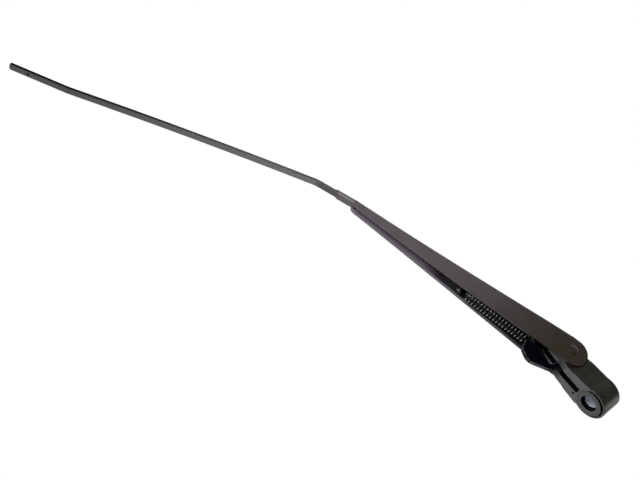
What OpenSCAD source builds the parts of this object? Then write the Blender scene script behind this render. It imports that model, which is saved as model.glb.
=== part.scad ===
// Windscreen wiper arm: a cast head on the spindle, a folded sheet channel hinged to it,
// a tension spring on a curved hook link, and a bent flat strip that carries the blade.
// Millimetres. The origin is on the spindle axis at the lower end of the bore's wall, +Z points
// away from the glass and +X towards the blade.

/* [Head] */
// Diameter of the eye round the spindle
eye_d = 24.8; // [20:0.2:28]
// Height of the eye
eye_h = 18.2; // [16:0.1:20]
// Rounding of the eye's upper and lower edges
eye_round = 0.4; // [0.2:0.1:1.5]
// Diameter of the spindle bore
bore_d = 10; // [8:0.5:12]
// Diameter of the lead-in at the bore's lower mouth
lead_d = 11.8; // [11:0.2:14]
// Depth of the lead-in
lead_depth = 3.3; // [2:0.1:4]
// Diameter of the raised face round the lower mouth
face_d = 19.4; // [17:0.2:20]
// Height of the raised face
face_h = 0.9; // [0.4:0.1:1.2]
// Width of the groove outside the raised face
groove_w = 1.2; // [0.8:0.1:1.6]
// Depth of the groove, above the rim outside it
groove_depth = 0.8; // [0.3:0.1:1.2]
// Height of the walls' lower edges above the raised face
wall_low = 0.2; // [0:0.1:0.8]
// Narrowing of the head from the hinge to the nose, on each side
nose_taper = 1.4; // [0.6:0.1:2]
// Reach of the nose past the hinge
nose_reach = 15.5; // [12:0.5:17]
// Width of the slot between the walls
slot_w = 5.2; // [4:0.1:6]
// Distance from the spindle axis to the slot's closed end
slot_end_x = 10.4; // [9.5:0.2:13]
// Thickness of the roof over the closed end of the slot
slot_roof = 4.5; // [3:0.5:6]
// Distance from the spindle axis to the small dent in the right wall's underside
dent_x = 11.6; // [11:0.2:14]
// Diameter of the dent
dent_d = 2; // [1.4:0.1:2.4]
// Depth of the dent
dent_depth = 1.5; // [0.5:0.1:3]
// Metal between the slot and the dent
dent_wall = 1.4; // [1:0.1:3]

/* [Hinge] */
// Distance from the spindle axis to the hinge
hinge_x = 33.3; // [31:0.1:38]
// Height of the hinge above the eye's raised face
hinge_z = 12.6; // [12:0.1:13.6]
// Angle of the channel below the head, resting on its stop
rest_fold = 19.3; // [12:0.2:24]
// Diameter of the hinge rivet
rivet_d = 5; // [4:0.1:6]
// Diameter of the rivet's heads
rivet_head_d = 7; // [6.5:0.1:9]
// Height of the rivet's heads
rivet_head_h = 0.7; // [0.4:0.1:1.2]
// Wall of the bush sleeves
bush_wall = 1; // [0.6:0.1:1.2]
// Distance from the slot to the inner end of each bush sleeve
bush_inset = 1.1; // [0.4:0.1:3]
// Diameter of the bush collars
collar_d = 14; // [11:0.5:15]
// Thickness of the bush collars, which keep the head clear of the flanges
collar_t = 0.9; // [0.6:0.1:1.2]
// Running clearance of the hinge, on the radius and at each face of a collar
hinge_play = 0.05; // [0.02:0.01:0.08]

/* [Channel] */
// Length from the hinge to the channel's tip
channel_len = 196; // [170:1:230]
// Thickness of the sheet
sheet = 0.8; // [0.6:0.1:1]
// Width of the channel at the hinge
channel_w = 21; // [20.4:0.2:23]
// How quickly the channel narrows towards its tip
narrowing = 1.6; // [1.2:0.1:2]
// Height of the top web above the hinge
web_rise = 10.2; // [9.8:0.1:11]
// How far the web slopes down from the hinge to the crimp
web_fall = 0.25; // [0:0.05:1]
// Depth of the flanges below the hinge
flange_drop = 11.6; // [11:0.1:13]
// Depth of the flanges at the crimp, from the top of the web
flange_tip = 6.2; // [5:0.1:7]
// Downward bow of the flanges' lower edges
flange_bow = 0.6; // [0:0.1:1.2]
// Outside radius of the channel's two long folds
fold_r = 1.3; // [1.1:0.1:2.2]
// Distance from the hinge to the end of the web
web_start = 4.4; // [4:0.2:6]
// Length of the crimp round the strip
crimp_len = 15; // [10:0.5:20]
// Step from the channel down to the crimp on each side
crimp_step = 0.2; // [0.1:0.05:0.4]
// Tilt of the crimp towards the glass
crimp_tilt = 4.5; // [0:0.5:8]
// Gap between the crimp's two lips
seam = 0.8; // [0.4:0.1:1.2]
// How much shorter the lips are than the top of the crimp
lip_back = 2.5; // [0:0.5:5]

/* [Strip] */
// Width of the strip
strip_w = 5.5; // [5:0.1:6.5]
// Thickness of the strip
strip_t = 1.8; // [1.5:0.1:2.2]
// Length of strip held inside the channel behind the crimp
strip_tail = 2; // [1:0.2:2]
// Straight length from the crimp to the first bend
strip_lead = 12.6; // [4:0.1:16]
// Angle of the first bend, towards the glass
bend_down = 11.2; // [6:0.1:18]
// Centre radius of the first bend
bend_down_r = 22; // [12:1:30]
// Length of the long run between the bends
strip_run = 180.2; // [150:0.2:230]
// Bow of the long run, towards the glass
run_bow = 2.8; // [0:0.1:4]
// Angle of the second bend, away from the glass
bend_up = 4.7; // [2:0.1:8]
// Centre radius of the second bend
bend_up_r = 40; // [30:2:90]
// Length from the second bend to the tip
strip_end = 41.2; // [34:0.2:50]
// Distance from the tip to the locking pip
pip_back = 13.5; // [10:0.5:20]
// Diameter of the locking pip
pip_d = 2.2; // [1.8:0.1:2.6]
// Height of the locking pip, and depth of the dimple under it
pip_h = 0.7; // [0.4:0.1:0.9]
// Chamfer of the two corners at the tip
tip_chamfer = 0.8; // [0.3:0.1:1.5]

/* [Spring and link] */
// Distance of the link's pin behind the hinge
pin_back = 2.5; // [2:0.1:4]
// Distance of the link's pin below the hinge
pin_drop = 7.1; // [6.8:0.1:7.4]
// Diameter of the link's pin
pin_d = 3.5; // [3:0.1:3.8]
// Thickness of the link
link_t = 3; // [2.4:0.1:3.4]
// Distance from the link's pin to the spring's hole
hook_reach = 26.2; // [25.4:0.2:28]
// Diameter of the spring's hole in the link
hook_hole_d = 3.4; // [3.4:0.1:4]
// Radius of the link round each of its holes
link_eye_r = 3.8; // [3.5:0.1:4]
// Distance from the hinge to the tab that anchors the spring, along the channel
tab_u = 86; // [80:0.5:92]
// Height of the spring's pull above the hinge, at the tab
tab_w = -2; // [-3:0.1:1]
// Width of the tab
tab_width = 6; // [5:0.2:7]
// Diameter of the spring's wire
wire_d = 1.3; // [1:0.1:1.4]
// Outside diameter of the spring
coil_d = 9; // [8:0.1:9.2]
// Number of turns of the spring
turns = 19; // [17:1:20]

/* [Hidden] */
$fn = 96;
eps = 0.01;

// Across the hinge, from the middle out: head wall, bush collar, channel flange, rivet head
head_w = channel_w - 2 * (sheet + collar_t + 2 * hinge_play);
bush_len = (head_w - slot_w) / 2 - bush_inset;
bush_d = rivet_d + 2 * hinge_play + 2 * bush_wall;

// The head's profile stays inside this radius of the hinge, under the channel's web
stop_gap = 0.2;
crown_r = web_rise - sheet - stop_gap;
nose_z = 2.4;

// The walls' lower edges start this far from the spindle axis, beside the raised face
wall_x = face_d / 4;
neck_w = channel_w - 1;

// The channel's long outline
crimp_u = channel_len - crimp_len;
crimp_w = strip_w + 2 * sheet;
crimp_top = web_rise - web_fall - crimp_step;
crimp_h = strip_t + 2 * sheet;
flat_u = 8;
taper_ease = 0.05;
end_r = (web_rise + flange_drop) / 2 - 0.5;
end_mid = end_r - flange_drop;
end_sweep = end_r - end_mid * sqrt(2);
shoulder = 6;
shoulder_u = crimp_u - shoulder;
stations = 14;
fold_steps = 4;

// The spring pulls along a straight line from the link's pin to the tab
pin_x = hinge_x - pin_back;
pin_z = hinge_z - pin_drop;
tab_x = hinge_x + tab_u * cos(rest_fold) + tab_w * sin(rest_fold);
tab_z = hinge_z - tab_u * sin(rest_fold) + tab_w * cos(rest_fold);
pull_len = norm([tab_x - pin_x, tab_z - pin_z]);
pull_angle = atan2(pin_z - tab_z, tab_x - pin_x);
tilt = rest_fold - pull_angle;

// Places of the spring's coil and of its two hooks along the line of pull
mean_r = (coil_d - wire_d) / 2;
rear_r = link_t / 2 + wire_d / 2 + 1.05;
rear_apex = hook_reach + hook_hole_d / 2 - wire_d - 0.05;
front_r = 2.4;
tab_bar = 1.1;
tab_hole_d = 2.6;
front_s = pull_len + sheet / 2 + 0.3 - sqrt(pow(front_r - wire_d / 2, 2) - pow(tab_bar, 2));
coil_from = rear_apex + rear_r + 1.4;
coil_to = pull_len - 6.2;
wire_sides = 8;
steps_per_turn = 12;

// Places something in the channel's frame: x along the channel, z away from the glass
module in_channel() {
    translate([hinge_x, 0, hinge_z - lead_depth]) rotate([0, rest_fold, 0]) children();
}

// Places something in the frame of the spring's pull: x along the pull, z away from the glass
module in_pull() {
    translate([pin_x, 0, pin_z - lead_depth]) rotate([0, pull_angle, 0]) children();
}

// A side view, drawn as x and z, made into a slab of the given width across Y
module slab(width) {
    rotate([90, 0, 0]) linear_extrude(width, center = true) children();
}

// A cylinder along Y
module cross_rod(d, length) {
    rotate([90, 0, 0]) cylinder(d = d, h = length, center = true);
}

// The eye: a round body with softened edges and a slightly raised lower face
module eye_body() {
    rotate_extrude() {
        translate([0, face_h + eye_round]) square([eye_d / 2, eye_h - face_h - 2 * eye_round]);
        translate([0, face_h]) square([eye_d / 2 - eye_round, eye_h - face_h]);
        for (z = [face_h + eye_round, eye_h - eye_round])
            translate([eye_d / 2 - eye_round, z]) circle(eye_round, $fn = 32);
        square([face_d / 2, eye_h]);
    }
}

// The groove round the raised face, from wall to wall round the end of the eye
module face_groove() {
    intersection() {
        translate([0, 0, face_h - 1]) difference() {
            cylinder(d = face_d + 2 * groove_w, h = groove_depth + 1);
            translate([0, 0, -1]) cylinder(d = face_d, h = groove_depth + 3);
        }
        translate([-eye_d, -eye_d, -1]) cube([eye_d + wall_x - 0.5, 2 * eye_d, eye_h]);
    }
}

// The head from above: two walls that narrow from the eye to the nose
module head_plan() {
    polygon([
        for (side = [-1, 1]) each [
            for (p = side < 0 ? plan_points() : reversed(plan_points())) [p[0], side * p[1]]
        ]
    ]);
}

function plan_points() = [
    [0, eye_d / 2 - 0.6],
    [hinge_x - end_sweep - 2.4, neck_w / 2],
    [hinge_x - end_sweep - 0.4, head_w / 2 + 0.6],
    [hinge_x - collar_d / 2 - 0.4, head_w / 2],
    [hinge_x + collar_d / 2 - 4, head_w / 2],
    [hinge_x + nose_reach + 2, head_w / 2 - nose_taper]
];

function reversed(list) = [for (i = [len(list) - 1:-1:0]) list[i]];

// The head from the side: flat below, a crown round the hinge, and a nose under the web
module head_side() {
    crown_back = sqrt(pow(crown_r, 2) - pow(eye_h - hinge_z, 2));
    nose_x = hinge_x + nose_reach;
    nose_top = hinge_z + (crown_r - nose_reach * sin(rest_fold)) / cos(rest_fold);
    translate([hinge_x, hinge_z]) circle(crown_r);
    polygon([
        [0, face_h], [wall_x, face_h], [wall_x + 1.5, wall_low], [hinge_x - 7, wall_low],
        [hinge_x - 2, wall_low + 1.2], [nose_x - 5, nose_z], [nose_x - 1.4, nose_z + 1.8],
        [nose_x, nose_z + 5], [nose_x, nose_top - 2.4], [nose_x - 0.8, nose_top - 0.8],
        [nose_x - 2.4, nose_top + 2.4 * tan(rest_fold) - 0.1],
        [hinge_x + crown_r * sin(rest_fold), hinge_z + crown_r * cos(rest_fold)],
        [hinge_x, hinge_z], [hinge_x - crown_back, eye_h], [0, eye_h]
    ]);
}

module head() {
    color([0.16, 0.155, 0.14]) translate([0, 0, -lead_depth]) difference() {
        union() {
            eye_body();
            intersection() {
                linear_extrude(hinge_z + crown_r + 1) head_plan();
                slab(eye_d) head_side();
            }
        }
        translate([0, 0, -1]) cylinder(d = bore_d, h = eye_h + 2);
        translate([0, 0, -1]) cylinder(d = lead_d, h = lead_depth + 1);
        translate([slot_end_x, -slot_w / 2, -1])
            cube([hinge_x + nose_reach, slot_w, eye_h - slot_roof + 1]);
        translate([hinge_x - crown_r, -slot_w / 2, -1])
            cube([hinge_x + nose_reach, slot_w, hinge_z + crown_r + 3]);
        translate([dent_x, -(slot_w + dent_d) / 2 - dent_wall, wall_low - 1])
            cylinder(d = dent_d, h = dent_depth + 1);
        face_groove();
        translate([hinge_x, 0, hinge_z]) cross_rod(bush_d, eye_d);
        translate([pin_x, 0, pin_z]) cross_rod(pin_d, eye_d);
    }
}

// The cross pin that the link turns on, flush with the head's walls
module link_pin() {
    color([0.55, 0.55, 0.56]) translate([pin_x, 0, pin_z - lead_depth]) cross_rod(pin_d, head_w - 0.4);
}

// A nylon bush: a sleeve in the head's wall and a collar against the channel's flange
module hinge_bush(side) {
    color([0.2, 0.2, 0.2]) in_channel() translate([0, side * head_w / 2, 0]) rotate([-90 * side, 0, 0])
        difference() {
            union() {
                translate([0, 0, hinge_play / 2]) cylinder(d = collar_d, h = collar_t);
                translate([0, 0, -bush_len]) cylinder(d = bush_d, h = bush_len + hinge_play);
            }
            translate([0, 0, -bush_len - 1])
                cylinder(d = rivet_d + 2 * hinge_play, h = bush_len + collar_t + 2);
        }
}

// The hinge rivet: a shank through both flanges with a low head at each end
module hinge_rivet() {
    color([0.14, 0.14, 0.13]) in_channel() {
        cross_rod(rivet_d, channel_w);
        for (side = [-1, 1])
            translate([0, side * channel_w / 2, 0]) rotate([-90 * side, 0, 0]) {
                cylinder(d = rivet_head_d, h = rivet_head_h / 2);
                translate([0, 0, rivet_head_h / 2])
                    cylinder(d1 = rivet_head_d, d2 = rivet_head_d - 2, h = rivet_head_h / 2);
            }
    }
}

// How far along its taper the channel is at a distance from the hinge, with a soft start
function taper(u) =
    let (t = min(1, max(0, (u - flat_u) / (crimp_u - flat_u))))
    (1 + taper_ease) * t * t / (t + taper_ease);

// Outside width of the channel, and height of its web, at a distance from the hinge
function channel_width(u) =
    let (tip = crimp_w + 2 * crimp_step)
    tip + (channel_w - tip) * pow(1 - taper(u), narrowing);
function web_top(u) = web_rise - web_fall * taper(u);

// Height of the flanges' lower edges at a distance from the hinge
function flange_low(u) =
    let (t = u / crimp_u)
    -flange_drop + (web_rise - flange_tip + flange_drop) * t - 4 * flange_bow * t * (1 - t);

// One skin of the channel's section, from one flange's foot over the web to the other's
function skin(half, top, r, foot) = concat(
    [[half, foot]],
    [for (i = [0:fold_steps]) let (a = 90 * i / fold_steps) [half - r + r * cos(a), top - r + r * sin(a)]],
    [for (i = [0:fold_steps]) let (a = 90 * i / fold_steps) [-half + r - r * sin(a), top - r + r * cos(a)]],
    [[-half, foot]]
);

// Places along the folded sheet, each with the height of its feet: the long taper first, then
// the rounded shoulder that rises to the crimp
sheet_stations = concat(
    [for (u = [web_start, flat_u]) [u, flange_low(u)]],
    [for (i = [1:stations]) let (u = flat_u + (shoulder_u - flat_u) * i / stations) [u, flange_low(u)]],
    [for (a = [15:15:90]) [shoulder_u + shoulder * sin(a),
        crimp_top - crimp_h - (crimp_top - crimp_h - flange_low(shoulder_u)) * cos(a)]]
);

// The folded sheet as one loft, from the end of the web to the crimp
module folded_sheet() {
    rings = [for (s = sheet_stations) let (half = channel_width(s[0]) / 2) concat(
        skin(half, web_top(s[0]), fold_r, s[1]),
        skin(half - sheet, web_top(s[0]) - sheet, fold_r - sheet, s[1]))];
    n = len(rings[0]) / 2;
    last = len(rings) - 1;
    points = [for (i = [0:last]) each [for (p = rings[i]) [sheet_stations[i][0], p[0], p[1]]]];
    function at(i, skin_no, k) = i * 2 * n + skin_no * n + k;
    skins = [for (i = [0:last - 1], k = [0:n - 2]) each [
        [at(i, 0, k), at(i + 1, 0, k), at(i + 1, 0, k + 1)],
        [at(i, 0, k), at(i + 1, 0, k + 1), at(i, 0, k + 1)],
        [at(i, 1, k), at(i + 1, 1, k + 1), at(i + 1, 1, k)],
        [at(i, 1, k), at(i, 1, k + 1), at(i + 1, 1, k + 1)]]];
    feet = [for (i = [0:last - 1]) each [
        [at(i, 0, 0), at(i, 1, 0), at(i + 1, 1, 0)],
        [at(i, 0, 0), at(i + 1, 1, 0), at(i + 1, 0, 0)],
        [at(i, 0, n - 1), at(i + 1, 0, n - 1), at(i + 1, 1, n - 1)],
        [at(i, 0, n - 1), at(i + 1, 1, n - 1), at(i, 1, n - 1)]]];
    ends = [for (k = [0:n - 2]) each [
        [at(0, 0, k), at(0, 0, k + 1), at(0, 1, k + 1), at(0, 1, k)],
        [at(last, 0, k), at(last, 1, k), at(last, 1, k + 1), at(last, 0, k + 1)]]];
    polyhedron(points, concat(skins, feet, ends), convexity = 6);
}

// The flanges' rounded rear ends, side by side behind the end of the web
module flange_ends() {
    for (side = [-1, 1])
        translate([0, side * (channel_w - sheet) / 2, 0]) slab(sheet) polygon(concat(
            [[flat_u - 1, web_rise - fold_r - 0.3], [web_start, web_rise - fold_r]],
            [[web_start, web_rise - 0.5]],
            [for (i = [0:24]) let (a = 95 + 170 * i / 24) end_mid * [1, 1] + end_r * [cos(a), sin(a)]],
            [[flat_u - 1, flange_low(flat_u - 1)]]
        ));
}

// Tilts the crimp, drawn in line with the channel, about the top of its rear end
module at_crimp() {
    translate([crimp_u, 0, crimp_top]) rotate([0, crimp_tilt, 0]) translate([-crimp_u, 0, -crimp_top])
        children();
}

// The crimp: the sheet's end folded flat round the strip, with its lips meeting below
module crimp() {
    r = 1;
    back = 2;
    difference() {
        translate([crimp_u - back, 0, crimp_top - crimp_h / 2]) rotate([90, 0, 90])
            linear_extrude(crimp_len + back) {
                square([crimp_w, crimp_h - 2 * r], center = true);
                square([crimp_w - 2 * r, crimp_h], center = true);
                for (y = [-1, 1], z = [-1, 1])
                    translate([y * (crimp_w / 2 - r), z * (crimp_h / 2 - r)]) circle(r, $fn = 32);
            }
        translate([crimp_u - back - 1, -strip_w / 2, crimp_top - sheet - strip_t])
            cube([crimp_len + back + 2, strip_w, strip_t]);
        translate([crimp_u - back - 1, -seam / 2, crimp_top - crimp_h - 1])
            cube([crimp_len + back + 2, seam, sheet + 1.5]);
        slab(2 * crimp_w) polygon([
            [channel_len, crimp_top], [channel_len - lip_back, crimp_top - crimp_h],
            [channel_len - lip_back, crimp_top - crimp_h - 1], [channel_len + 1, crimp_top - crimp_h - 1],
            [channel_len + 1, crimp_top]]);
    }
}

// The tab lanced out of the web and bent down, with a hole for the spring's front hook
module tab() {
    translate([tab_u - sheet / 2, -tab_width / 2, tab_w - tab_bar])
        cube([sheet, tab_width, web_rise - sheet / 2 - tab_w + tab_bar]);
}

module channel() {
    hook_w = tab_w + front_r / cos(tilt);
    color([0.27, 0.25, 0.26]) in_channel() difference() {
        union() {
            difference() {
                folded_sheet();
                translate([tab_u + sheet / 2, -tab_width / 2, 0])
                    cube([web_rise - tab_w + tab_bar - 1, tab_width, web_rise + 5]);
            }
            flange_ends();
            tab();
            at_crimp() crimp();
        }
        cross_rod(rivet_d, channel_w + 4);
        translate([tab_u, 0, hook_w]) rotate([0, 90, 0])
            cylinder(d = tab_hole_d, h = 4 * sheet, center = true);
    }
}

// The strip's legs in order: length, turn away from the glass, and number of short steps
strip_legs = [
    [strip_tail + crimp_len + strip_lead, 0, 1],
    [bend_down_r * bend_down * PI / 180, -bend_down, 10],
    [strip_run, -run_bow, 8],
    [bend_up_r * bend_up * PI / 180, bend_up, 4],
    [strip_end, 0, 1]
];
strip_steps = [for (leg = strip_legs) for (i = [1:leg[2]]) [leg[0] / leg[2], leg[1] / leg[2]]];

strip_start = [crimp_u, crimp_top]
    - strip_tail * [cos(crimp_tilt), -sin(crimp_tilt)]
    - (sheet + strip_t / 2) * [sin(crimp_tilt), cos(crimp_tilt)];

// Centre line of the strip in the channel's frame, as x, z and heading
strip_line = [
    for (i = 0, p = strip_start, h = -crimp_tilt;
         i <= len(strip_steps);
         p = i < len(strip_steps) ? p + step_along(strip_steps[i], h) : p,
         h = i < len(strip_steps) ? h + strip_steps[i][1] : h,
         i = i + 1) [p[0], p[1], h]
];
function step_along(s, h) = s[0] * [cos(h + s[1] / 2), sin(h + s[1] / 2)];
function beside(p, d) = [p[0] - d * sin(p[2]), p[1] + d * cos(p[2])];

module strip() {
    tip = strip_line[len(strip_line) - 1];
    tip_cut = tip_chamfer * sqrt(2);
    color([0.33, 0.32, 0.32]) in_channel() difference() {
        union() {
            slab(strip_w) polygon(concat(
                [for (p = strip_line) beside(p, strip_t / 2)],
                [for (p = reversed(strip_line)) beside(p, -strip_t / 2)]));
            translate([tip[0], 0, tip[1]]) rotate([0, -tip[2], 0])
                translate([-pip_back, 0, 0]) cylinder(d = pip_d, h = strip_t / 2 + pip_h);
        }
        translate([tip[0], 0, tip[1]]) rotate([0, -tip[2], 0])
            translate([-pip_back, 0, -strip_t / 2 - 1]) cylinder(d = pip_d, h = 1 + pip_h);
        for (side = [-1, 1])
            translate([tip[0], side * strip_w / 2, tip[1]]) rotate([0, -tip[2], 0])
                rotate([0, 0, 45]) cube([tip_cut, tip_cut, 3 * strip_t], center = true);
    }
}

// The link's outline between its two eyes, along and across the line of pull: first the
// outer edge that bulges towards the glass, then the inner edge that clears the hinge rivet
function link_outline() = hook_reach * [
    [-0.137, -0.053], [-0.034, -0.248], [0.092, -0.34], [0.244, -0.43], [0.439, -0.49],
    [0.706, -0.575], [0.859, -0.555], [0.992, -0.47], [1.099, -0.36], [1.122, -0.153],
    [1.118, 0.023], [1.065, 0.122], [0.962, 0.116], [0.752, -0.053], [0.576, -0.13],
    [0.416, -0.202], [0.309, -0.26], [0.233, -0.233], [0.179, -0.137], [0.145, -0.015],
    [0, 0.072]
];

// A smooth closed curve through the points of a list
function smooth(pts, steps) = let (n = len(pts)) [
    for (i = [0:n - 1], k = [0:steps - 1])
        let (a = pts[(i + n - 1) % n], b = pts[i], c = pts[(i + 1) % n], d = pts[(i + 2) % n], t = k / steps)
            0.5 * (2 * b + t * (c - a) + t * t * (2 * a - 5 * b + 4 * c - d)
                   + t * t * t * (3 * b - a - 3 * c + d))
];

module hook_link() {
    color([0.06, 0.06, 0.08]) in_pull() difference() {
        union() {
            slab(link_t) polygon(smooth(link_outline(), 5));
            cross_rod(2 * link_eye_r, link_t);
        }
        cross_rod(pin_d + 2 * hinge_play, link_t + 2);
        translate([hook_reach, 0, 0]) cross_rod(hook_hole_d, link_t + 2);
    }
}

// The spring's wire: rear hook through the link, close turns, and front hook round the tab
spring_wire = concat(
    [for (i = [0:10]) let (a = -90 + 18 * i)
        [rear_apex + rear_r - rear_r * cos(a), rear_r * sin(a), 0]],
    [for (i = [0:turns * steps_per_turn])
        let (t = i / (turns * steps_per_turn), a = 360 * t * turns - 90 * t)
            [coil_from + (coil_to - coil_from) * t, mean_r * cos(a), -mean_r * sin(a)]],
    [[coil_to + 2, 0, front_r + 0.5], [coil_to + 3.5, 0, front_r]],
    [for (i = [0:8]) let (a = 90 - 22.5 * i)
        [front_s + front_r * cos(a), 0, front_r * sin(a)]],
    [[front_s - 1.5, 0, -front_r]]
);

function unit(v) = v / norm(v);
function carried(heading, v) = unit(cross(cross(heading, v), heading));
function wire_heading(w, i) = unit(w[min(i + 1, len(w) - 1)] - w[max(i - 1, 0)]);

// A round bar swept along a line of points, its section carried along without twisting
module swept_wire(w, d, sides) {
    across = [for (i = 0, v = unit(cross(wire_heading(w, 0), [0, 0, 1])); i < len(w);
                   i = i + 1, v = i < len(w) ? carried(wire_heading(w, i), v) : v) v];
    points = [for (i = [0:len(w) - 1])
        let (t = wire_heading(w, i), u = across[i], b = cross(t, u))
            each [for (k = [0:sides - 1]) let (a = 360 * k / sides)
                w[i] + d / 2 * (cos(a) * u + sin(a) * b)]];
    last = len(w) - 1;
    faces = concat(
        [[for (k = [0:sides - 1]) k]],
        [[for (k = [sides - 1:-1:0]) last * sides + k]],
        [for (i = [0:last - 1], k = [0:sides - 1]) let (n = (k + 1) % sides) each [
            [i * sides + k, (i + 1) * sides + k, (i + 1) * sides + n],
            [i * sides + k, (i + 1) * sides + n, i * sides + n]]]
    );
    polyhedron(points, faces, convexity = 8);
}

module tension_spring() {
    color([0.1, 0.1, 0.11]) in_pull() swept_wire(spring_wire, wire_d, wire_sides);
}

head();
link_pin();
hinge_bush(-1);  // hinge_bush_left
hinge_bush(1);  // hinge_bush_right
hinge_rivet();
channel();
strip();
hook_link();
tension_spring();
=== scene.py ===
"""Wiper arm: finishes, spring wire, bore serrations and photo stage, laid out as an add-on."""

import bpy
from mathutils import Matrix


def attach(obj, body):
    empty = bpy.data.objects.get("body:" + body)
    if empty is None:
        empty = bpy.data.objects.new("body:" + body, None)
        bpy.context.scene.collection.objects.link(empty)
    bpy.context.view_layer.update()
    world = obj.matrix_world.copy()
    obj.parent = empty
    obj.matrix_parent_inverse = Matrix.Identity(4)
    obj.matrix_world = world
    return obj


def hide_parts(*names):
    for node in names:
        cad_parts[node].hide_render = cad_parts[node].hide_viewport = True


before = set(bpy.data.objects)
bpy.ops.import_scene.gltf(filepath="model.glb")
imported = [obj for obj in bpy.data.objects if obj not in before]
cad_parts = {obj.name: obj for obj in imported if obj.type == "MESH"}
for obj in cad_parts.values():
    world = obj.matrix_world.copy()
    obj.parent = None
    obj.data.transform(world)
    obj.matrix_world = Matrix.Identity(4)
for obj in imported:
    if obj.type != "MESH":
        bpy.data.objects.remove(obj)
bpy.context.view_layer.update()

import math

import bpy
from mathutils import Matrix, Vector

bl_info = {
    "name": "Wiper Arm Look",
    "version": (1, 0, 0),
    "blender": (4, 5, 0),
    "location": "View3D > Sidebar > Wiper Arm",
    "description": "Paints the wiper arm's pieces, winds its spring and sets the photo stage",
    "category": "Object",
}

MM = 0.001

# The hinge, the link's pin, and the angle of the channel below the head
HINGE = Vector((33.3, 0.0, 9.3)) * MM
PIN = Vector((30.8, 0.0, 2.2)) * MM
FOLD = math.radians(19.3)

# The head: the bore's wall starts at z = 0, and its lead-in and the raised face lie below it
BORE_R = 5.0 * MM
BORE_TOP = 14.9 * MM
LEAD_R = 5.9 * MM
FACE_R = 9.7 * MM
FACE_Z = -3.3 * MM
GROOVE_R = 10.9 * MM
GROOVE_TOP = -1.2 * MM
SLOT_HALF = 2.62 * MM
SLOT_END_X = 10.0 * MM
# How far a mask reaches past the surface that it covers
SKIN = 0.1 * MM

# The serrations: half their width, how deep their feet sit in the wall, and how far from its ends
TOOTH_HALF = 0.3 * MM
TOOTH_FOOT = 0.02 * MM
TOOTH_MARGIN = 0.5 * MM

# The channel: from the hinge to its crimp, and the flanges' lower edge as a curve along it
CRIMP_U = 181.0 * MM
FOOT_DROP = 11.6 * MM
FOOT_SLOPE = 13.2 * MM
FOOT_CURVE = 2.4 * MM

# The spring, in millimetres. Its tab: along the channel from the hinge, and above the hinge
TAB = (86.0, -2.0)
# From the tab's middle to the inside of the front hook, and half the bar that the hook holds
TAB_FACE = 0.7
TAB_BAR = 1.1
# The spring's hole in the link: its distance from the pin, its radius, and the wire's play in it
HOLE_REACH = 26.2
HOLE_R = 1.7
HOLE_PLAY = 0.05
# The hooks' radii, the gap from the rear hook's centre to the turns, and from them to the tab
REAR_HOOK_R = 3.2
FRONT_HOOK_R = 2.4
HOOK_TO_COIL = 1.4
COIL_TO_TAB = 6.2
# Points that lead from the turns to the front hook: past the turns, and outside the hook's radius
COIL_EXIT = ((2.0, 0.5), (3.5, 0.0))
# How far the front hook's end runs on
HOOK_TAIL = 1.5
# Steps of the wire round each hook, its sides, and the share of its radius left at its two ends
REAR_HOOK_STEPS = 16
FRONT_HOOK_STEPS = 14
WIRE_SIDES = 14
WIRE_END = 0.72

# Where the paint changes along the arm, from the spindle: where it starts and where it's complete
OLIVE_FADE = (30 * MM, 130 * MM)
# The next two: where the painted shade and the painted light inside the channel fade in
PAINTED_SHADE_FADE = (150 * MM, 125 * MM)
PAINTED_LIGHT_FADE = (128 * MM, 150 * MM)
FEET_REAR = (40 * MM, 80 * MM)
FEET_FRONT = (180 * MM, 130 * MM)
SIDES_FADE = (260 * MM, 350 * MM)
# The same for the band of painted light above the flanges' lower edges
FEET_PAINTED_LIGHT_BAND = (2.4 * MM, 1.0 * MM)

# Edges of a CAD piece flatter than this are shaded smooth
SMOOTH_BELOW = math.radians(35)
# Samples for a rounded edge, and the likeness of its normal to the face's where the painted glint
# starts and where it's complete
EDGE_SAMPLES = 6
EDGE_GLINT_RANGE = (0.96, 0.78)

# Colours that the paints change to from place to place, several of them painted light and painted
# shade, and those of the small pieces
OLIVE_AND_PAINTED_SHADE = (0.032, 0.027, 0.018)
CRIMP_PAINTED_LIGHT = (0.110, 0.098, 0.108)
INSIDE_PAINTED_SHADE = (0.018, 0.014, 0.020)
INSIDE_PAINTED_LIGHT = (0.140, 0.124, 0.146)
FOOT_PAINTED_LIGHT = (0.15, 0.14, 0.155)
STRIP_SIDES_PAINTED_SHADE = (0.012, 0.009, 0.009)
LINK_EDGE_GLINT = (0.45, 0.45, 0.46)
HEAD_UNDERSIDE_PAINTED_LIGHT = (0.086, 0.083, 0.080)
HEAD_FACE = (0.048, 0.050, 0.055)
RECESS_PAINTED_SHADE = (0.002, 0.002, 0.003)
BARE_LOW = (0.50, 0.53, 0.60)
BARE_HIGH = (0.85, 0.88, 0.96)
PIN_LOW = (0.32, 0.32, 0.33)
PIN_HIGH = (0.6, 0.6, 0.6)
NYLON = (0.012, 0.012, 0.013)
NYLON_WORN = (0.03, 0.03, 0.032)
WHITE = (1.0, 1.0, 1.0)

# The surround's soft boxes: direction, half width in degrees, and colour
SOFT_BOXES = (
    ((0, -1, 0), 85, (0.30, 0.28, 0.34)),
    ((-0.5, -0.78, -0.38), 13, (1.56, 1.75, 1.85)),
    ((-0.4, -0.78, -0.48), 13, (1.29, 1.21, 1.05)),
    ((0.02, -0.76, -0.65), 13, (0.97, 1.08, 1.03)),
    ((-0.833, -0.171, 0.527), 22, (1.5, 1.43, 1.15)),
    ((-0.27, -0.8, 0.53), 22, (0.76, 0.86, 0.77)),
    ((0, 0, 1), 50, (1.2, 1.2, 1.2)),
    ((0, -1, 0), 36, (1.0, 1.0, 1.0)),
)
# The lamps beside the camera: place and aim in millimetres, size, and power in watts
SIDE_LAMPS = (
    ((250, 230, -250), (125, 0, -25), 160, 0.56),
    ((230, 240, -140), (125, 0, -25), 160, 0.76),
)
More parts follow.
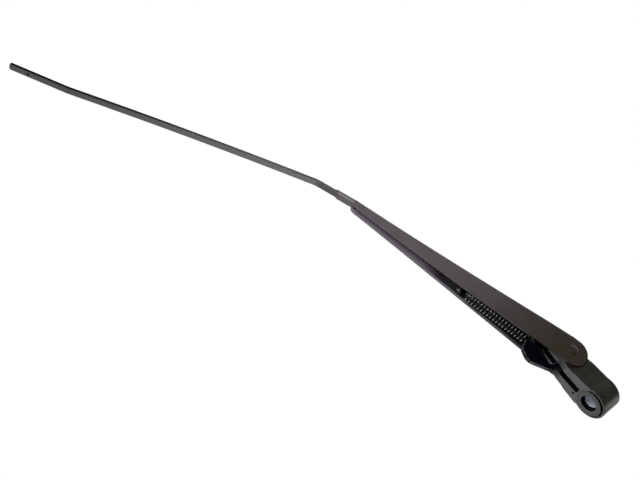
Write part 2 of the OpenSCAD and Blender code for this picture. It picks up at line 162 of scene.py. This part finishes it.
# The camera: its place in millimetres, and the picture's directions to the right and inwards
CAMERA_PLACE = (12.8626, 551.2314, -444.1)
CAMERA_RIGHT = (-0.618910, 0.274971, 0.735759)
CAMERA_FORWARD = (0.267762, -0.806752, 0.526740)
SENSOR_WIDTH = 36.0
CLIP = (0.01, 20.0)


# ---------------------------------------------------------------- node helpers

class Sock:
    """One output socket of a node tree; arithmetic on it adds Math nodes."""

    def __init__(self, tree, output):
        self.tree = tree
        self.output = output

    @staticmethod
    def add(tree, kind, inputs=(), output=0, **settings):
        """A new node with its settings, then its sockets' values or links; gives one output."""
        node = tree.nodes.new(kind)
        for name, value in settings.items():
            setattr(node, name, value)
        for key, value in inputs.items() if isinstance(inputs, dict) else enumerate(inputs):
            plug(value, node.inputs[key])
        return Sock(tree, node.outputs[output]) if node.outputs else None

    def beside(self, name):
        """Another output of the same node."""
        return Sock(self.tree, self.output.node.outputs[name])

    def math(self, operation, *values):
        return Sock.add(self.tree, "ShaderNodeMath", values, operation=operation)

    def __add__(self, other):
        return self.math("ADD", self, other)

    def __radd__(self, other):
        return self.math("ADD", other, self)

    def __sub__(self, other):
        return self.math("SUBTRACT", self, other)

    def __rsub__(self, other):
        return self.math("SUBTRACT", other, self)

    def __mul__(self, other):
        return self.math("MULTIPLY", self, other)

    def __rmul__(self, other):
        return self.math("MULTIPLY", other, self)

    def __truediv__(self, other):
        return self.math("DIVIDE", self, other)

    def __rtruediv__(self, other):
        return self.math("DIVIDE", other, self)

    def __pow__(self, other):
        return self.math("POWER", self, other)

    def __rpow__(self, other):
        return self.math("POWER", other, self)

    def __abs__(self):
        return self.math("ABSOLUTE", self)

    def sine(self):
        return self.math("SINE", self)

    def either(self, other):
        """The union of two masks."""
        return self.math("MAXIMUM", self, other)

    def above(self, edge):
        return self.math("GREATER_THAN", self, edge)

    def below(self, edge):
        return self.math("LESS_THAN", self, edge)

    def ramp(self, low, high, to_low=0.0, to_high=1.0):
        """A smooth step from to_low at low to to_high at high."""
        limits = {"Value": self, "From Min": low, "From Max": high,
                  "To Min": to_low, "To Max": to_high}
        return Sock.add(self.tree, "ShaderNodeMapRange", limits, interpolation_type="SMOOTHSTEP")


def plug(value, socket):
    """Links an output, or sets a number, vector or colour as the socket's own value."""
    if isinstance(value, Sock):
        value.tree.links.new(value.output, socket)
    elif socket.type == "RGBA":
        socket.default_value = (*value, 1.0)
    else:
        socket.default_value = value


def vector_math(tree, operation, inputs, output=0):
    return Sock.add(tree, "ShaderNodeVectorMath", inputs, output, operation=operation)


def axes(vector):
    """A vector's x, y and z."""
    x = Sock.add(vector.tree, "ShaderNodeSeparateXYZ", (vector,))
    return x, x.beside("Y"), x.beside("Z")


def place(tree):
    """Object coordinates, in metres."""
    return Sock.add(tree, "ShaderNodeTexCoord", output="Object")


def facing(tree):
    """The surface's normal, without bump or smoothing."""
    return Sock.add(tree, "ShaderNodeNewGeometry", output="True Normal")


def noise(where, size, detail=3.0, rough=0.55, stretch=(1, 1, 1)):
    """Noise of about 0 to 1 whose features are size metres across."""
    spot = Sock.add(where.tree, "ShaderNodeMapping", {"Scale": stretch, "Vector": where})
    shape = {"Vector": spot, "Scale": 1.0 / size, "Detail": detail, "Roughness": rough}
    return Sock.add(where.tree, "ShaderNodeTexNoise", shape, "Fac")


def mix(factor, a, b):
    """A colour between a and b."""
    return Sock.add(factor.tree, "ShaderNodeMix", {"Factor": factor, "A": a, "B": b}, "Result",
                    data_type="RGBA")


def rounded(tree, radius):
    """The normal of a surface whose edges are rounded to the given radius."""
    return Sock.add(tree, "ShaderNodeBevel", {"Radius": radius}, samples=EDGE_SAMPLES)


def edge_mask(tree, radius):
    """1 on edges sharper than the given radius, 0 on flat ground."""
    likeness = vector_math(tree, "DOT_PRODUCT", (rounded(tree, radius), facing(tree)), "Value")
    return likeness.ramp(*EDGE_GLINT_RANGE)


def bump(height, strength, distance, edge):
    """A bump's normal, over edges rounded to the given radius, or left sharp at 0."""
    inputs = {"Strength": strength, "Distance": distance, "Height": height}
    if edge:
        inputs["Normal"] = rounded(height.tree, edge)
    return Sock.add(height.tree, "ShaderNodeBump", inputs)


def shader(base, rough, normal, metal=0.0, coat=0.0, specular=0.5):
    """A Principled shader; constants stay on its own sockets."""
    return Sock.add(normal.tree, "ShaderNodeBsdfPrincipled", {
        "Base Color": base, "Roughness": rough, "Metallic": metal, "Coat Weight": coat,
        "Coat Roughness": 0.1, "Specular IOR Level": specular, "Normal": normal})


def blend_shaders(factor, a, b):
    return Sock.add(factor.tree, "ShaderNodeMixShader", (factor, a, b))


def new_material(name):
    """An empty material and its tree."""
    material = bpy.data.materials.new(name)
    material.use_nodes = True
    material.node_tree.nodes.clear()
    return material, material.node_tree


def close_material(material, surface):
    """Leads the surface to the material's output."""
    Sock.add(material.node_tree, "ShaderNodeOutputMaterial", {"Surface": surface})
    return material


# ---------------------------------------------------------------- finishes

def paint(name, base, worn, rough, edge, relief, coat=0.0, specular=0.5, recolor=None):
    """Black paint: a faint mottle, a fine orange peel and softened edges. Recolor, if given, takes
    the colour and the place, and returns the colour to use."""
    material, tree = new_material(name)
    where = place(tree)
    mottle = noise(where, 18 * MM, 4.0)
    peel = noise(where, 0.6 * MM, 2.0)
    dust = noise(where, 2.2 * MM, 6.0, 0.7).ramp(0.58, 0.75)
    color = mix(mottle.ramp(0.35, 0.7) * 0.6 + dust * 0.4, base, worn)
    if recolor:
        color = recolor(color, where)
    roughness = rough + (mottle - 0.5) * 0.12 + dust * 0.06
    normal = bump(peel, relief, 0.06 * MM, edge)
    return close_material(material, shader(color, roughness, normal, coat=coat, specular=specular))


def channel_color(color, where):
    """Olive and darker towards the hinge, an olive tone that is partly painted shade; painted
    light at the crimp; and inside the flanges painted shade where the channel is deep, painted
    light where it is shallow, and a band of painted light along their feet."""
    x, y, z = axes(where)
    along = (x - HINGE.x) * math.cos(FOLD) - (z - HINGE.z) * math.sin(FOLD)
    above = (x - HINGE.x) * math.sin(FOLD) + (z - HINGE.z) * math.cos(FOLD)
    share = along / CRIMP_U
    foot = share * FOOT_SLOPE + share * share * FOOT_CURVE - FOOT_DROP
    inside = (axes(facing(where.tree))[1] * y).below(-0.3 * MM)
    feet = (above - foot).ramp(*FEET_PAINTED_LIGHT_BAND)
    # An olive tone towards the hinge, darker than the paint: partly real tone, partly painted
    # shade
    color = mix(x.ramp(*OLIVE_FADE, 1.0, 0.0), color, OLIVE_AND_PAINTED_SHADE)
    # Painted light on the crimp, which faces down towards the light
    color = mix(along.above(CRIMP_U) * 0.8, color, CRIMP_PAINTED_LIGHT)
    # Painted shade deep inside the flanges, then painted light inside them where the channel is
    # shallow
    color = mix(inside * x.ramp(*PAINTED_SHADE_FADE), color, INSIDE_PAINTED_SHADE)
    color = mix(inside * x.ramp(*PAINTED_LIGHT_FADE), color, INSIDE_PAINTED_LIGHT)
    # Painted light: a band along the inside of the flanges' feet, where light comes in under them
    feet = feet * x.ramp(*FEET_REAR) * x.ramp(*FEET_FRONT)
    return mix(inside * feet, color, FOOT_PAINTED_LIGHT)


def strip_color(color, where):
    """The strip's narrow sides are darker beyond its middle: painted shade."""
    sides = abs(axes(facing(where.tree))[1]).above(0.7)
    # Painted shade on the strip's narrow sides towards its tip
    return mix(sides * axes(where)[0].ramp(*SIDES_FADE), color, STRIP_SIDES_PAINTED_SHADE)


def link_color(color, where):
    """Painted glints: the link's edges are painted light for the highlights on them."""
    # Painted highlight along the link's rounded edges
    return mix(edge_mask(where.tree, 0.35 * MM), color, LINK_EDGE_GLINT)


def cast_paint(name, base, worn, rough):
    """The head: cast black paint with painted light on its downward faces and its raised face,
    faint turned rings on the raised face, painted shade in the lead-in, groove and slot, and a
    bare bore wall."""
    material, tree = new_material(name)
    where = place(tree)
    x, y, z = axes(where)
    mottle = noise(where, 11 * MM, 5.0)
    pits = noise(where, 0.9 * MM, 4.0, 0.65)
    radius = (x * x + y * y) ** 0.5
    mouth = radius.below(LEAD_R + SKIN) * z.below(SKIN)
    groove = (radius.above(FACE_R + SKIN) * radius.below(GROOVE_R - SKIN)
              * z.above(FACE_Z + 2 * SKIN) * z.below(GROOVE_TOP))
    slot = abs(y).below(SLOT_HALF) * x.above(SLOT_END_X) * z.above(FACE_Z + 6 * SKIN)
    face = radius.below(FACE_R) * z.below(FACE_Z + 3 * SKIN)
    color = mix(mottle.ramp(0.35, 0.7), base, worn)
    # Painted light: faces turned down, and the raised face after them, are painted lighter for the
    # light from below
    color = mix(axes(facing(tree))[2].below(-0.9), color, HEAD_UNDERSIDE_PAINTED_LIGHT)
    color = mix(face, color, HEAD_FACE)
    rings = (radius * (2 * math.pi / (1.1 * MM))).sine() * face * 0.5
    outer = shader(color, rough + (mottle - 0.5) * 0.14 + pits * 0.06,
                   bump(pits + rings, 0.35, 0.09 * MM, 0.5 * MM))
    # Painted shade: the lead-in, groove and slot are painted near black for the shade in them
    painted_shade = shader(RECESS_PAINTED_SHADE, 0.85, bump(pits, 0.35, 0.09 * MM, 0), specular=0.05)
    outer = blend_shaders(mouth.either(slot).either(groove), outer, painted_shade)
    ridges = noise(where, 1.2 * MM, 3.0, stretch=(1, 1, 0.08))
    bare = shader(mix(ridges, BARE_LOW, BARE_HIGH), ridges * 0.2 + 0.3,
                  bump(ridges, 0.3, 0.1 * MM, 0.2 * MM), metal=0.5)
    wall = radius.below(BORE_R + 1.2 * SKIN) * z.above(-SKIN) * z.below(BORE_TOP - 2 * SKIN)
    return close_material(material, blend_shaders(wall, outer, bare))


def bare_metal(name, low, high, metal=1.0):
    """Drawn or cut metal with fine lengthwise marks."""
    material, tree = new_material(name)
    marks = noise(place(tree), 0.8 * MM, 4.0, stretch=(0.15, 0.15, 1))
    return close_material(material, shader(
        mix(marks, low, high), marks * 0.15 + 0.3,
        bump(marks, 0.25, 0.05 * MM, 0.1 * MM), metal=metal))


def nylon(name, base, worn):
    """Moulded black nylon."""
    material, tree = new_material(name)
    where = place(tree)
    cloud = noise(where, 4 * MM, 4.0)
    return close_material(material, shader(
        mix(cloud, base, worn), cloud * 0.15 + 0.42,
        bump(noise(where, 0.4 * MM), 0.2, 0.04 * MM, 0.2 * MM)))


def coat_node(node, material):
    """Gives a CAD node its material, and smooth shading over its flatter edges."""
    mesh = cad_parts[node].data
    mesh.materials.clear()
    mesh.materials.append(material)
    mesh.polygons.foreach_set("use_smooth", [True] * len(mesh.polygons))
    mesh.set_sharp_from_angle(angle=SMOOTH_BELOW)


# ---------------------------------------------------------------- geometry helpers

def new_object(name, mesh):
    obj = bpy.data.objects.new(name, mesh)
    bpy.context.collection.objects.link(obj)
    return obj


def mesh_object(name, verts, faces, material):
    mesh = bpy.data.meshes.new(name)
    mesh.from_pydata([tuple(v) for v in verts], [], faces)
    mesh.update()
    mesh.materials.append(material)
    return new_object(name, mesh)


def sweep(name, path, radius, sides, material):
    """A round wire along a path, its section carried along without twisting."""
    count = len(path)
    heads = [(path[min(i + 1, count - 1)] - path[max(i - 1, 0)]).normalized()
             for i in range(count)]
    aslant = Vector((0, 1, 0.2))
    across = heads[0].cross(aslant).normalized()
    verts, faces = [], []
    for i, head in enumerate(heads):
        across = (across - head * across.dot(head)).normalized()
        other = head.cross(across)
        reach = radius * (WIRE_END if i in (0, count - 1) else 1.0)
        for k in range(sides):
            a = 2 * math.pi * k / sides
            verts.append(path[i] + reach * (math.cos(a) * across + math.sin(a) * other))
    for i in range(count - 1):
        for k in range(sides):
            n = (k + 1) % sides
            faces.append((i * sides + k, i * sides + n, (i + 1) * sides + n, (i + 1) * sides + k))
    faces.append(tuple(range(sides - 1, -1, -1)))
    faces.append(tuple((count - 1) * sides + k for k in range(sides)))
    obj = mesh_object(name, verts, faces, material)
    obj.data.polygons.foreach_set("use_smooth", [len(f) == 4 for f in faces])
    return obj


def tooth_ring(name):
    """A Geometry Nodes tree that repeats a tooth round the Z axis, on a circle of points."""
    tree = bpy.data.node_groups.new(name, "GeometryNodeTree")
    for label, kind in (("Tooth", "Object"), ("Teeth", "Int"), ("Radius", "Float"),
                        ("Material", "Material")):
        tree.interface.new_socket(label, in_out="INPUT", socket_type="NodeSocket" + kind)
    tree.interface.new_socket("Geometry", in_out="OUTPUT", socket_type="NodeSocketGeometry")
    tooth = Sock.add(tree, "NodeGroupInput", output="Tooth")
    teeth = tooth.beside("Teeth")
    circle = Sock.add(tree, "GeometryNodeMeshCircle",
                      {"Vertices": teeth, "Radius": tooth.beside("Radius")})
    shape = Sock.add(tree, "GeometryNodeObjectInfo", {"Object": tooth}, "Geometry")
    turn = Sock.add(tree, "GeometryNodeInputIndex") / teeth * (2 * math.pi)
    angles = Sock.add(tree, "ShaderNodeCombineXYZ", {"Z": turn})
    ring = Sock.add(tree, "GeometryNodeInstanceOnPoints",
                    {"Points": circle, "Instance": shape, "Rotation": angles})
    ring = Sock.add(tree, "GeometryNodeRealizeInstances", (ring,))
    ring = Sock.add(tree, "GeometryNodeSetMaterial",
                    {"Geometry": ring, "Material": tooth.beside("Material")})
    Sock.add(tree, "NodeGroupOutput", (ring,))
    return tree


def bake(name, tree, values, material):
    """What the tree makes of its named inputs, as a plain mesh object with no modifier."""
    source = mesh_object(name + "_source", [(0, 0, 0)], [], material)
    modifier = source.modifiers.new(tree.name, "NODES")
    modifier.node_group = tree
    for item in tree.interface.items_tree:
        if item.in_out == "INPUT":
            modifier[item.identifier] = values[item.name]
    graph = bpy.context.evaluated_depsgraph_get()
    mesh = bpy.data.meshes.new_from_object(source.evaluated_get(graph))
    mesh.name = name
    source.modifiers.clear()
    bpy.data.objects.remove(source)
    return new_object(name, mesh)


def pull_line():
    """The spring's line of pull from the link's pin to the tab: its length in millimetres, its
    direction, and the direction above it."""
    u, w = TAB
    tab = HINGE / MM + Vector((u * math.cos(FOLD) + w * math.sin(FOLD), 0,
                               w * math.cos(FOLD) - u * math.sin(FOLD)))
    line = tab - PIN / MM
    along = line.normalized()
    return line.length, along, Vector((-along.z, 0, along.x))


def spring_path(coil, wire, turns, steps):
    """The middle of the spring's wire, in metres. Its points are worked out in millimetres along,
    across and above the line of pull: the rear hook, the turns, and the front hook."""
    length, along, up = pull_line()
    mean = (coil - wire) / 2
    rear = HOLE_REACH + HOLE_R - wire - HOLE_PLAY + REAR_HOOK_R
    first, last = rear + HOOK_TO_COIL, length - COIL_TO_TAB
    front = length + TAB_FACE - math.sqrt((FRONT_HOOK_R - wire / 2) ** 2 - TAB_BAR ** 2)
    path = []
    for i in range(REAR_HOOK_STEPS + 1):
        a = math.radians(-90 + 180 * i / REAR_HOOK_STEPS)
        path.append((rear - REAR_HOOK_R * math.cos(a), REAR_HOOK_R * math.sin(a), 0))
    for i in range(turns * steps + 1):
        t = i / (turns * steps)
        a = math.radians((360 * turns - 90) * t)
        path.append((first + (last - first) * t, mean * math.cos(a), -mean * math.sin(a)))
    path += [(last + past, 0, FRONT_HOOK_R + outside) for past, outside in COIL_EXIT]
    for i in range(FRONT_HOOK_STEPS + 1):
        a = math.radians(90 - 180 * i / FRONT_HOOK_STEPS)
        path.append((front + FRONT_HOOK_R * math.cos(a), 0, FRONT_HOOK_R * math.sin(a)))
    path.append((front - HOOK_TAIL, 0, -FRONT_HOOK_R))
    return [PIN + (along * s + Vector((0, y, 0)) + up * t) * MM for s, y, t in path]


# ---------------------------------------------------------------- stage helpers

def surround(tree):
    """The colour of the surround: a soft box for each row of SOFT_BOXES."""
    direction = Sock.add(tree, "ShaderNodeTexCoord", output="Generated")
    total = (0.0, 0.0, 0.0)
    for toward, width, color in SOFT_BOXES:
        lean = vector_math(tree, "DOT_PRODUCT", (direction, Vector(toward).normalized()), "Value")
        edge = math.cos(math.radians(width))
        level = lean.ramp(edge, 0.25 * edge + 0.75)
        tinted = vector_math(tree, "SCALE", {"Vector": color, "Scale": level})
        total = vector_math(tree, "ADD", (tinted, total))
    return total


def stand(name, data, spot, turn):
    """A lamp or camera at a place in millimetres, turned by a matrix."""
    obj = new_object(name, data)
    obj.matrix_world = Matrix.Translation(Vector(spot) * MM) @ turn.to_4x4()
    return obj


def side_lamp(spot, aim, size, power):
    """A square lamp beside the camera."""
    data = bpy.data.lights.new("Side lamp", "AREA")
    data.size = size * MM
    data.energy = power
    back = (Vector(spot) - Vector(aim)).normalized()
    stand("Side lamp", data, spot, back.to_track_quat("Z", "Y").to_matrix())


# ---------------------------------------------------------------- settings

def size_setting(name, description, default, low, high):
    """A length, given in millimetres."""
    return bpy.props.FloatProperty(
        name=name, description=description, default=default * MM, min=low * MM, max=high * MM,
        precision=5, subtype="DISTANCE")


def share_setting(name, description, default):
    return bpy.props.FloatProperty(
        name=name, description=description, default=default, min=0.05, max=1.0, subtype="FACTOR")


def color_setting(name, description, default):
    return bpy.props.FloatVectorProperty(
        name=name, description=description, default=default, min=0.0, max=1.0, size=3,
        subtype="COLOR")


class WiperHeadSettings(bpy.types.PropertyGroup):
    teeth: bpy.props.IntProperty(
        name="Teeth", description="Serrations round the spindle bore", default=36, min=12, max=72)
    tooth_height: size_setting("Tooth height", "Height of a serration", 0.26, 0.1, 0.5)
    color: color_setting("Colour", "The cast head's paint", (0.015, 0.0135, 0.010))
    worn: color_setting("Worn colour", "Its paler patches", (0.028, 0.025, 0.019))
    roughness: share_setting("Roughness", "Roughness of the cast head's paint", 0.32)


class WiperChannelSettings(bpy.types.PropertyGroup):
    color: color_setting("Colour", "The channel's paint", (0.072, 0.061, 0.067))
    worn: color_setting("Worn colour", "Its paler patches", (0.094, 0.080, 0.088))
    roughness: share_setting("Roughness", "Roughness of the channel's paint", 0.30)
    strip_color: color_setting("Strip colour", "The strip's paint", (0.056, 0.051, 0.050))
    strip_worn: color_setting("Strip worn colour", "Its paler patches", (0.077, 0.070, 0.069))
    strip_roughness: share_setting("Strip roughness", "Roughness of the strip's paint", 0.28)


class WiperSpringSettings(bpy.types.PropertyGroup):
    turns: bpy.props.IntProperty(
        name="Turns", description="Turns of the tension spring", default=19, min=10, max=30)
    steps: bpy.props.IntProperty(
        name="Steps", description="Steps of the wire in each turn", default=28, min=12, max=48)
    wire: size_setting("Wire", "Diameter of the spring's wire", 1.3, 0.8, 1.5)
    coil: size_setting("Coil", "Outside diameter of the spring", 9.0, 8.0, 9.2)
    color: color_setting("Colour", "The spring's finish", (0.022, 0.022, 0.024))
    worn: color_setting("Worn colour", "Its paler patches", (0.045, 0.045, 0.048))
    link_color: color_setting("Link colour", "The hook link's paint", (0.002, 0.0025, 0.005))
    link_worn: color_setting("Link worn colour", "Its paler patches", (0.004, 0.004, 0.008))


class WiperStageSettings(bpy.types.PropertyGroup):
    lens: bpy.props.FloatProperty(
        name="Lens", description="Focal length for a 36 mm wide sensor", default=56.25,
        min=20.0, max=200.0, unit="CAMERA")
    light: bpy.props.FloatProperty(
        name="Light", description="Strength of the whole surround on the arm", default=1.0,
        min=0.0, max=3.0)


# ---------------------------------------------------------------- operators

class WIPER_OT_head(bpy.types.Operator):
    """Paint the cast head and cut the serrations in its bore"""
    bl_idname = "wiper.head"
    bl_label = "Head"

    def execute(self, context):
        s = context.scene.wiper_head
        coat_node("head", cast_paint("cast_black", s.color, s.worn, s.roughness))
        coat_node("link_pin", bare_metal("bright_steel", PIN_LOW, PIN_HIGH))
        plastic = nylon("nylon", NYLON, NYLON_WORN)
        coat_node("hinge_bush_left", plastic)
        coat_node("hinge_bush_right", plastic)
        corners = [(TOOTH_FOOT, -TOOTH_HALF), (-s.tooth_height, 0.0), (TOOTH_FOOT, TOOTH_HALF)]
        verts = [(x, y, z) for z in (TOOTH_MARGIN, BORE_TOP - TOOTH_MARGIN) for x, y in corners]
        faces = [(0, 1, 4, 3), (1, 2, 5, 4), (2, 0, 3, 5), (2, 1, 0), (3, 4, 5)]
        metal = bare_metal("bore_teeth", BARE_LOW, BARE_HIGH, 0.5)
        tooth = mesh_object("tooth", verts, faces, metal)
        teeth = bake("bore_teeth", tooth_ring("Bore Teeth"), {
            "Tooth": tooth, "Teeth": s.teeth, "Radius": BORE_R, "Material": metal}, metal)
        bpy.data.objects.remove(tooth)
        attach(teeth, "head")
        return {"FINISHED"}


class WIPER_OT_channel(bpy.types.Operator):
    """Paint the folded channel, its hinge rivet and the strip"""
    bl_idname = "wiper.channel"
    bl_label = "Channel and strip"

    def execute(self, context):
        s = context.scene.wiper_channel
        sheet = paint("channel_black", s.color, s.worn, s.roughness, 0.3 * MM, 0.1,
                      recolor=channel_color)
        coat_node("channel", sheet)
        coat_node("hinge_rivet", sheet)
        coat_node("strip", paint("strip_black", s.strip_color, s.strip_worn, s.strip_roughness,
                                 0.3 * MM, 0.1, recolor=strip_color))
        return {"FINISHED"}


class WIPER_OT_spring(bpy.types.Operator):
    """Wind the tension spring and finish the hook link"""
    bl_idname = "wiper.spring"
    bl_label = "Spring and link"

    def execute(self, context):
        s = context.scene.wiper_spring
        coat_node("hook_link", paint("link_black", s.link_color, s.link_worn, 0.2, 0.4 * MM, 0.12,
                                     specular=0.15, recolor=link_color))
        finish = paint("spring_black", s.color, s.worn, 0.24, 0, 0.08, coat=1.0)
        path = spring_path(s.coil / MM, s.wire / MM, s.turns, s.steps)
        wire = sweep("spring_wire", path, s.wire / 2, WIRE_SIDES, finish)
        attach(wire, "link")
        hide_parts("tension_spring")
        return {"FINISHED"}


class WIPER_OT_stage(bpy.types.Operator):
    """Set the white surround, the lamps and the photo's camera"""
    bl_idname = "wiper.stage"
    bl_label = "Stage"

    def execute(self, context):
        s = context.scene.wiper_stage
        scene = context.scene
        scene.view_settings.view_transform = "Standard"
        scene.world = bpy.data.worlds.new("White surround")
        scene.world.use_nodes = True
        tree = scene.world.node_tree
        tree.nodes.clear()
        around = Sock.add(tree, "ShaderNodeBackground",
                          {"Color": surround(tree), "Strength": s.light})
        plain = Sock.add(tree, "ShaderNodeBackground", {"Color": WHITE})
        seen = Sock.add(tree, "ShaderNodeLightPath", output="Is Camera Ray")
        Sock.add(tree, "ShaderNodeOutputWorld", {"Surface": blend_shaders(seen, around, plain)})

        for row in SIDE_LAMPS:
            side_lamp(*row)
        data = bpy.data.cameras.new("Camera")
        data.sensor_width = SENSOR_WIDTH
        data.lens = s.lens
        data.clip_start, data.clip_end = CLIP
        right = Vector(CAMERA_RIGHT).normalized()
        forward = Vector(CAMERA_FORWARD).normalized()
        up = right.cross(forward).normalized()
        turn = Matrix((right, up, -forward)).transposed()
        scene.camera = stand("Camera", data, CAMERA_PLACE, turn)
        return {"FINISHED"}


class WIPER_PT_panel(bpy.types.Panel):
    """Settings and build steps of the wiper arm"""
    bl_label = "Wiper Arm"
    bl_idname = "WIPER_PT_panel"
    bl_space_type = "VIEW_3D"
    bl_region_type = "UI"
    bl_category = "Wiper Arm"

    def draw(self, context):
        for (name, settings), operator in zip(GROUPS.items(), OPERATORS):
            box = self.layout.box()
            box.operator(operator.bl_idname)
            for setting in settings.__annotations__:
                box.prop(getattr(context.scene, name), setting)


GROUPS = {"wiper_head": WiperHeadSettings, "wiper_channel": WiperChannelSettings,
          "wiper_spring": WiperSpringSettings, "wiper_stage": WiperStageSettings}
OPERATORS = (WIPER_OT_head, WIPER_OT_channel, WIPER_OT_spring, WIPER_OT_stage)
CLASSES = (*GROUPS.values(), *OPERATORS, WIPER_PT_panel)


def register():
    for cls in CLASSES:
        bpy.utils.register_class(cls)
    for name, cls in GROUPS.items():
        setattr(bpy.types.Scene, name, bpy.props.PointerProperty(type=cls))


def unregister():
    for name in GROUPS:
        delattr(bpy.types.Scene, name)
    for cls in reversed(CLASSES):
        bpy.utils.unregister_class(cls)


def main():
    register()
    bpy.ops.wiper.head()
    bpy.ops.wiper.channel()
    bpy.ops.wiper.spring()
    bpy.ops.wiper.stage()


if __name__ == "__main__":
    main()
